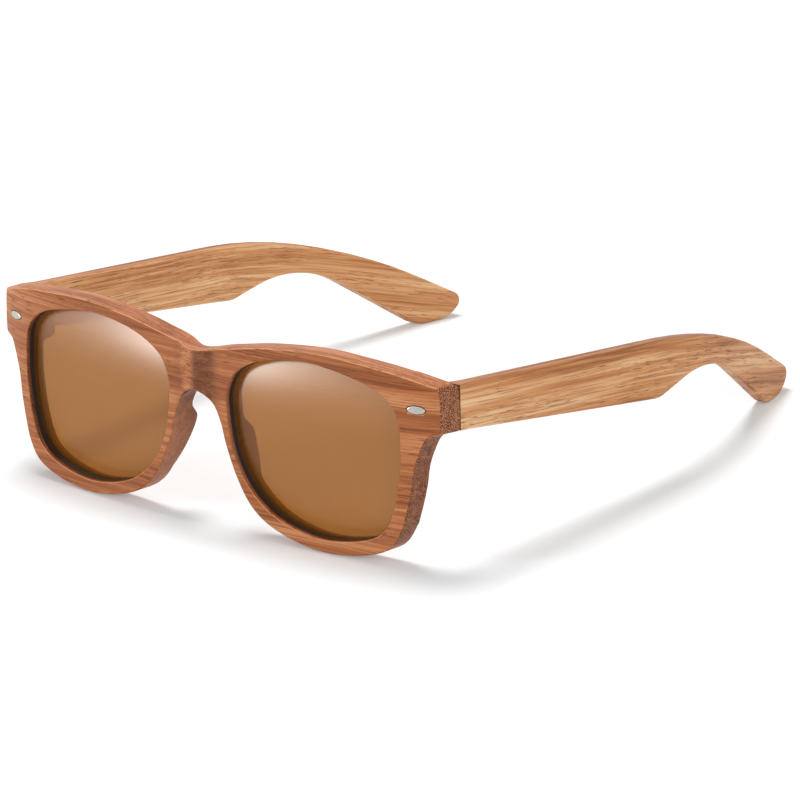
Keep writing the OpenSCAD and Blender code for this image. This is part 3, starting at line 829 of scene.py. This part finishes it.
def timber(name, along, dip, tones, end_tones, shape, seed):
    """Wood with its grain along an axis, dipped by an angle. From the place and the normal, shape
    says how much paler the face is, in tone and as painted light, where the grain is cut across,
    how speckled the cut is, and how much paler the cut is, in tone and as painted sheen. The seed
    is the place in the log that the board was sawn from."""
    material, place, normal, shader = finish(name)
    board = straightened(place) if along == "y" else flattened(place)
    grain = board.add("ShaderNodeVectorRotate", {"rotation_type": "X_AXIS"},
                      {"Vector": board, "Angle": dip})
    grain = grain.add("ShaderNodeVectorMath", {"operation": "ADD"},
                      {0: grain, 1: (seed, seed * 0.7, seed * 1.3)})

    def size(length, width):
        """Millimetres along the grain and across it, as a size on each axis."""
        return [length if axis == along else width for axis in "xyz"]

    paler, ends, speckle, cut_tone_and_sheen = shape(axes(place), axes(normal))
    bands = grain.noise(size(190, 6), 2, 0.5, 0.25)
    streaks = grain.noise(size(75, 1.1), 3, 0.6, 0.1)
    fibres = grain.noise(size(26, 0.3), 2, 0.55)
    lines = grain.noise(size(30, 0.34), 1, 0.5).between(0.58, 0.66)
    patches = grain.noise(size(26, 4), 1).between(0.36, 0.58)
    pores = grain.noise(size(4.2, 0.22), 1, 0.5).between(0.6, 0.66) * patches
    tone = bands.between(0.34, 0.66) * 0.42 + streaks.between(0.37, 0.63) * 0.4
    tone = tone + fibres.between(0.25, 0.75) * 0.18 + 0.06 + paler
    face = grain.add("ShaderNodeValToRGB", {"stops": tones}, {"Fac": tone}, "Color")
    face = (lines * 0.48).tint(face, tones[0][1])
    face = (pores * 0.75).tint(face, tones[0][1])
    dots = grain.noise(size(2.0, 0.28), 2, 0.5).between(0.5, 0.57)
    clumps = grain.noise(size(6.0, 1.6), 2).between(0.3, 0.7)
    cut_end = (dots * speckle + clumps * 0.18 + cut_tone_and_sheen).tint(end_tones[0], end_tones[1])
    relief = fibres * 0.3 + streaks * 0.3 - pores * 0.9 - lines * 0.4
    feed(shader, base_color=ends.tint(face, cut_end), specular_ior_level=0.16,
         roughness=0.46 - fibres * 0.1 + pores * 0.2 + ends * 0.04,
         normal=grain.add("ShaderNodeBump", {}, {"Height": relief, "Strength": 0.2, "Distance": 0.0001}))
    return material


def front_shape(place, normal):
    """Paler on top as painted light from above, with a painted highlight along the top front edge,
    a painted sheen on one side of the bridge's ridge, and paler towards one end; cut across at the
    sawn ends, the rim sides and the ridge's other side, which is darkened partly as painted shade.
    The cut is paler on the inner rim sides as painted sheen."""
    across, sides = size_of(place[0]), size_of(normal[0]).between(0.5, 0.85)
    bridge = 1 - across.between(0.004, 0.009)
    # One side of the bridge's ridge shows end grain, and its darkness there is partly painted shade
    flank_grain_and_shade = bridge * normal[0].between(-0.12, 0.04) * (1 - normal[2].between(0.4, 0.8))
    # A painted sheen on one side of the bridge's ridge
    painted_bridge_sheen = bridge * (1 - normal[0].between(-0.26, -0.08))
    sawn = across.between(0.069, 0.0715)
    pale_end = 1 - place[0].between(-0.068, -0.04)
    # A painted highlight along the top front edge
    painted_crease_highlight = normal[2].between(0.25, 0.5) * (1 - normal[2].between(0.75, 0.92))
    painted_crease_highlight = painted_crease_highlight * (1 - normal[1].between(-0.5, -0.2))
    # The tops are paler as painted light from above
    paler = normal[2].between(0.7, 0.95) * 0.08 + painted_bridge_sheen * 0.3 + pale_end * 0.1 + painted_crease_highlight * 0.8 - 0.05
    ends = sides.math("MAXIMUM", sides, flank_grain_and_shade * 0.85)
    outer = across.between(0.04, 0.055)
    speckle = 0.2 + outer * 0.25 + sawn * 0.5
    # The cut is paler on the inner rim sides as painted sheen, less so further out and on the bridge
    cut_tone_and_sheen = 0.42 - outer * 0.36 - sawn * 0.06 - bridge * 0.4
    return paler, ends, speckle, cut_tone_and_sheen


def temple_shape(place, normal):
    """Paler near the hinge, richer at the ear and redder on the top edge; cut across at both ends."""
    near_hinge, ear = 1 - place[1].between(-0.058, -0.03), place[1].between(0.0, 0.035)
    paler = near_hinge * 0.2 - ear * 0.05 - normal[2].between(0.7, 0.95) * 0.28
    ends, speckle, cut_tone_and_sheen = size_of(normal[1]).between(0.6, 0.9), 0.5, 0.22
    return paler, ends, speckle, cut_tone_and_sheen


def tone_stops(*shades):
    """Four stops of a colour ramp, from the darkest shade to the palest."""
    return [(at, colour(*shade)) for at, shade in zip((0.0, 0.3, 0.6, 1.0), shades)]


# The two temples have grain from different boards; the right temple's paler tones are painted light on that
# temple
FRONT_TONES = tone_stops((118, 61, 33), (166, 98, 58), (187, 116, 72), (214, 150, 102))
LEFT_TONES = tone_stops((128, 76, 44), (178, 116, 70), (202, 143, 94), (226, 184, 140))
RIGHT_TONES_PAINTED_LIGHTER = tone_stops((140, 82, 46), (190, 128, 80), (214, 156, 106), (234, 192, 146))
END_TONES = [colour(74, 31, 19), colour(190, 127, 88)]
GRAIN_DIP = math.radians(7.6)
BOARDS_AND_PAINTED_LIGHT = {"left": (LEFT_TONES, 0.83), "right": (RIGHT_TONES_PAINTED_LIGHTER, 1.47)}
front_finish = timber("front_wood_finish", "x", 0.0, FRONT_TONES, END_TONES, front_shape, 0.31)
temple_finish = {}
for word, (shades, seed) in BOARDS_AND_PAINTED_LIGHT.items():
    temple_finish[word] = timber("temple_wood_finish_" + word, "y", GRAIN_DIP, shades, END_TONES,
                                 temple_shape, seed)
dress(front_wood, front_finish)
for word in SIDES:
    dress(temples[word], temple_finish[word])
print("wood nodes:", len(front_finish.node_tree.nodes))

# %% [markdown]
# ## Tinted lenses
# A brown lens lets most red light through, less green and less blue still, and its smooth faces
# give a little white light back. A Mix Shader of a tinted Transparent shader and a glossy one
# shows both, and the light passes two faces, so each face takes the square root of the tint.
# The gloss, and with it the lens's own brown, takes a larger share near the top, which brightens the top of
# each lens as a partly painted highlight.
# Real lenses are more curved than the groove that holds them: a broad Bump adds that to the gloss.

# %% Lens finish
LENS_CURVE = 0.08
EYE_HEIGHT = 0.0251
GLOSS_SHARE, TOP_GLOSS_AND_HIGHLIGHT = 0.2, 0.18
GLOSS_FROM, GLOSS_TO = 0.004, 0.018
COATED_IOR = 2.3
FACE_TINT = colour(197, 163, 120)
LENS_BROWNS = colour(212, 140, 56), colour(220, 146, 60)


def tinted_lens():
    material, place, normal, shader = finish("lens_finish")
    haze = place.noise((30, 30, 30), 1)
    rise = axes(place)[2] - EYE_HEIGHT
    facing = axes(normal)[1]
    bulge = rise * rise * facing.math("SIGN", facing) * (0.5 / LENS_CURVE)
    curve = place.add("ShaderNodeBump", {}, {"Height": bulge, "Strength": 1.0, "Distance": 1.0})
    feed(shader, base_color=haze.tint(*LENS_BROWNS), ior=COATED_IOR,
         roughness=0.22 + haze * 0.02, normal=curve)
    clear = place.add("ShaderNodeBsdfTransparent", {}, {"Color": FACE_TINT})
    # Towards the top the share shifts to the gloss and the brown: graded gloss and, in part, a painted
    # highlight
    share = rise.between(GLOSS_FROM, GLOSS_TO) * TOP_GLOSS_AND_HIGHLIGHT + GLOSS_SHARE
    glossy = Wire(place.tree, shader.outputs[0])
    mixed = place.add("ShaderNodeMixShader", {}, {0: share, 1: clear, 2: glossy})
    place.tree.links.new(mixed.socket, place.tree.nodes["Material Output"].inputs["Surface"])
    return material


lens_finish = tinted_lens()
for word in SIDES:
    dress(lenses[word], lens_finish)
print("lens nodes:", len(lens_finish.node_tree.nodes))

# %% [markdown]
# ## Liner and metal
# The liner is black moulded plastic, slightly satin and finely grained. The rivets are satin
# silver, brushed along their length; the hinge parts are plain nickel and steel with small scuffs.

# %% Liner finish
def liner_black():
    material, place, normal, shader = finish("liner_finish")
    grain = place.noise((0.35, 0.35, 0.35), 2)
    satin = place.add("ShaderNodeBump", {}, {"Height": grain, "Strength": 0.15, "Distance": 0.00005})
    feed(shader, base_color=grain.tint(colour(14, 14, 17), colour(30, 31, 36)),
         roughness=0.38 + grain * 0.15, normal=satin)
    return material


liner_finish = liner_black()
for word in SIDES:
    dress(liners[word], liner_finish)
print("liner nodes:", len(liner_finish.node_tree.nodes))


# %% Metal finishes
def metal(name, dark, light, rough, brush):
    """Satin metal with brush marks drawn out by the sizes in brush."""
    material, place, normal, shader = finish(name)
    marks = place.noise(brush, 3, 0.6)
    wear = place.noise((1.4, 1.4, 1.4), 2)
    brushed = place.add("ShaderNodeBump", {}, {"Height": marks, "Strength": 0.12, "Distance": 0.00003})
    feed(shader, base_color=(marks * 0.6 + wear * 0.4).tint(dark, light), metallic=1.0,
         roughness=rough + marks * 0.14 - wear * 0.06, normal=brushed)
    return material


rivet_finish = metal("rivet_finish", colour(158, 155, 150), colour(206, 203, 198), 0.3, (3.0, 3.0, 0.08))
hinge_finish = metal("hinge_finish", colour(150, 148, 142), colour(196, 194, 188), 0.27, (0.1, 4.0, 0.1))
screw_finish = metal("screw_finish", colour(128, 128, 128), colour(180, 180, 178), 0.3, (0.6, 0.6, 0.12))
for word in SIDES:
    dress(rivets[word], rivet_finish)
for name in hinge_nodes:
    dress(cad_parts[name], screw_finish if "screw" in name else hinge_finish)
print("metal finishes on", len(rivets), "rivets and", len(hinge_nodes), "hinge parts")

# %% [markdown]
# ## Floor, light and camera
# The sunglasses stand on plain white. One soft lamp overhead makes the shadow under them, two
# boxes light the front and the side, and an even white surround fills the rest. To the camera,
# and in reflections, the floor gets a little glow of its own, so that it reads as white paper
# without more light on the wood.

# %% Floor
FLOOR_HALF = 6.0
PAPER, PAPER_GLOW = [0.785, 0.8, 0.807, 1], 0.2
BLACK, WHITE = [0, 0, 0, 1], [1, 1, 1, 1]
corners = [(x * FLOOR_HALF, y * FLOOR_HALF, 0) for x, y in ((-1, -1), (1, -1), (1, 1), (-1, 1))]
floor_mesh = bpy.data.meshes.new("floor")
floor_mesh.from_pydata(corners, [], [(0, 1, 2, 3)])
floor = bpy.data.objects.new("floor", floor_mesh)
bpy.context.scene.collection.objects.link(floor)


def seen(wire):
    """1 for rays from the camera, from mirrors and through glass, else 0."""
    rays = wire.tree.nodes.new("ShaderNodeLightPath").outputs
    camera, glossy, through = (Wire(wire.tree, rays[f"Is {kind} Ray"])
                               for kind in ("Camera", "Glossy", "Transmission"))
    any_of = camera + glossy + through
    return any_of.math("MINIMUM", any_of, 1.0)


material, place, normal, shader = finish("floor_finish")
feed(shader, base_color=PAPER, roughness=0.9, emission_color=seen(place).tint(BLACK, WHITE),
     emission_strength=PAPER_GLOW)
dress(floor, material)
print("floor:", 2 * FLOOR_HALF, "m wide")

# %% Surround and lamps
SURROUND = 0.26
world = bpy.data.worlds.new("surround")
bpy.context.scene.world = world
world.use_nodes = True
tree = world.node_tree
backdrop = tree.nodes["Background"]
backdrop.inputs["Color"].default_value = WHITE
sky = Wire(tree, backdrop.outputs[0])
tree.links.new((SURROUND + seen(sky) * (1 - SURROUND)).socket, backdrop.inputs["Strength"])


def lamp(name, spot, aim, width, height, power):
    """A soft oval lamp at a spot, turned towards its aim; sizes in metres, power in watts."""
    data = bpy.data.lights.new(name, "AREA")
    data.shape, data.size, data.size_y, data.energy = "ELLIPSE", width, height, power
    obj = bpy.data.objects.new(name, data)
    obj.location = spot
    obj.rotation_euler = (Vector(aim) - Vector(spot)).to_track_quat("-Z", "Y").to_euler()
    bpy.context.scene.collection.objects.link(obj)


lamp("overhead", (-0.22, 0.12, 1.0), (0, 0, 0.02), 0.42, 0.42, 7.6)
lamp("front_box", (-0.849, -0.992, 0.31), (0, -0.07, 0.03), 0.26, 0.5, 6.4)
lamp("side_box", (1.5, -0.45, 0.5), (0, 0, 0.03), 1.0, 0.8, 12.5)

# %% Camera
FOCAL_MM, SENSOR_MM = 284.958, 36.0
NEAREST, FARTHEST = 0.05, 50
# The camera's own axes and its spot, each as a column of its matrix
VIEW_RIGHT = (0.745372, 0.664393, -0.0548)
VIEW_UP = (-0.177136, 0.276631, 0.944509)
VIEW_BACK = (0.642684, -0.694304, 0.323881)
VIEW_SPOT = (1.019618, -1.10662, 0.524314)
camera_data = bpy.data.cameras.new("camera")
camera_data.lens, camera_data.sensor_width, camera_data.sensor_fit = FOCAL_MM, SENSOR_MM, "HORIZONTAL"
camera_data.clip_start, camera_data.clip_end = NEAREST, FARTHEST
camera = bpy.data.objects.new("camera", camera_data)
bpy.context.scene.collection.objects.link(camera)
columns = zip(VIEW_RIGHT, VIEW_UP, VIEW_BACK, VIEW_SPOT)
camera.matrix_world = Matrix([list(row) for row in columns] + [[0, 0, 0, 1]])
bpy.context.scene.camera = camera
bpy.context.scene.view_settings.view_transform = "Standard"
print("camera at", [round(c, 3) for c in VIEW_SPOT], "m, lens", FOCAL_MM, "mm")
